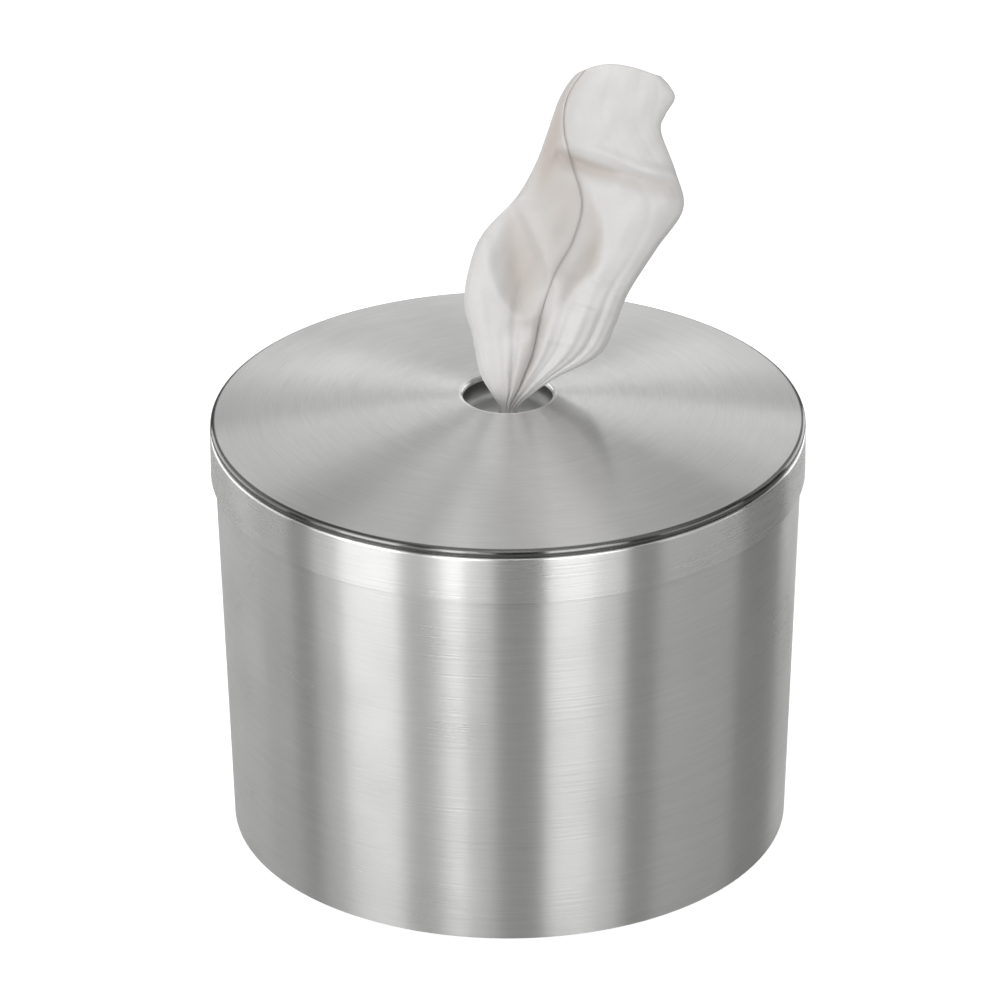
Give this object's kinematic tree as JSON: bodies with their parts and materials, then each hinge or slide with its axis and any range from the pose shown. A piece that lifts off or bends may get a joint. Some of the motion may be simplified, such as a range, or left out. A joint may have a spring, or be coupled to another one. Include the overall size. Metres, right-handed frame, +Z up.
{
  "type": "wet wipe dispenser",
  "caption": "Round countertop wet wipe dispenser: brushed steel can with a domed lift-off lid, a dish with a small outlet, and a wipe standing out of it.",
  "frame": {"origin": "on the table, under the can's axis", "axes": "+Z up along the can's axis; -Y towards the viewer; the standing wipe leans towards +X"},
  "size_m": [0.25, 0.25, 0.3455],
  "materials": {
    "can_steel": "fine horizontal brushing",
    "pan_steel": "mill finish",
    "crown_steel": "fine brushing in rings about the opening",
    "band_steel": "fine horizontal brushing",
    "dish_steel": "satin, spun",
    "foot_rubber": "matte",
    "gasket_silicone": "matte, translucent white",
    "nozzle_silicone": "matte",
    "roll_nonwoven": "soft nonwoven, wound",
    "wipe_nonwoven": "soft nonwoven"
  },
  "bodies": {
    "can": {"body_shell": "can_steel", "base_pan": "pan_steel", "foot_front_left": "foot_rubber", "foot_front_right": "foot_rubber", "foot_rear_left": "foot_rubber", "foot_rear_right": "foot_rubber", "wipe_roll": "roll_nonwoven"},
    "lid": {"lid_crown": "crown_steel", "lid_band": "band_steel", "lid_gasket": "gasket_silicone", "dispensing_dish": "dish_steel", "outlet_nozzle": "nozzle_silicone"},
    "wipe": {"dispensed_wipe": "wipe_nonwoven", "next_wipe": "wipe_nonwoven"}
  },
  "joints": [
    {"name": "lid_lift", "type": "slide", "parent": "can", "child": "lid", "axis": [0, 0, 1], "range_m": [0, 0.15]},
    {"name": "wipe_pull", "type": "slide", "parent": "lid", "child": "wipe", "axis": [0, 0, 1], "range_m": [0, 0.045]}
  ]
}
